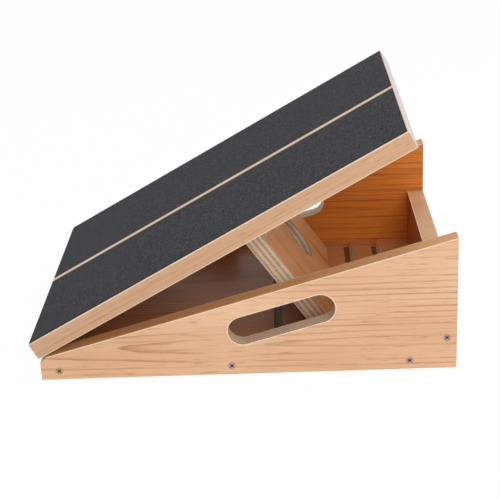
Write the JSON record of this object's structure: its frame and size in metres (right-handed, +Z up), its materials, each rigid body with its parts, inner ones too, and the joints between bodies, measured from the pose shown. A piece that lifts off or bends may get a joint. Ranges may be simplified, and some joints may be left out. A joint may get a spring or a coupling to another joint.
{
  "type": "slant board",
  "caption": "Sloping calf-stretch board: low open box, deck hinged at its front edge and held up by a prop whose toe sits in floor grooves.",
  "frame": {"origin": "middle of the underside", "axes": "+X from the low front end to the high rear end, +Y across the board, +Z up"},
  "size_m": [0.415, 0.32, 0.2405],
  "materials": {
    "oak_veneer_board": "satin lacquered veneer",
    "edge_band": "satin edge band",
    "birch_ply": "satin veneer with bare ply edges",
    "grip_surface": "matt gritty grip sheet",
    "hinge_steel": "zinc plated",
    "plated_screw": "zinc plated"
  },
  "bodies": {
    "base": {"bottom_panel": "oak_veneer_board", "side_panel_left": "oak_veneer_board", "side_panel_right": "oak_veneer_board", "back_panel": "oak_veneer_board", "side_band_left": "edge_band", "side_band_right": "edge_band", "back_band": "edge_band", "side_screws_left": "plated_screw", "side_screws_right": "plated_screw", "deck_hinge_base_leaf": "hinge_steel", "deck_hinge_base_screws": "plated_screw", "deck_hinge_pin": "hinge_steel"},
    "deck": {"deck_board": "oak_veneer_board", "deck_band_left": "edge_band", "deck_band_right": "edge_band", "deck_band_front": "edge_band", "deck_band_rear": "edge_band", "grip_strip_left": "grip_surface", "grip_strip_right": "grip_surface", "deck_hinge_deck_leaf": "hinge_steel", "deck_hinge_deck_screws": "plated_screw", "prop_hinge_deck_leaves": "hinge_steel", "prop_hinge_deck_screws": "plated_screw", "prop_hinge_pins": "hinge_steel"},
    "prop": {"prop_board": "birch_ply", "prop_hinge_prop_leaves": "hinge_steel", "prop_hinge_prop_screws": "plated_screw"}
  },
  "joints": [
    {"name": "deck_tilt", "type": "hinge", "parent": "base", "child": "deck", "pos_m": [-0.2027, 0, 0.02037], "axis": [0, -1, 0], "range_deg": [0, 120]},
    {"name": "prop_fold", "type": "hinge", "parent": "deck", "child": "prop", "pos_m": [0.01068, 0, 0.13768], "axis": [0, -1, 0], "range_deg": [0, 83.8]}
  ]
}
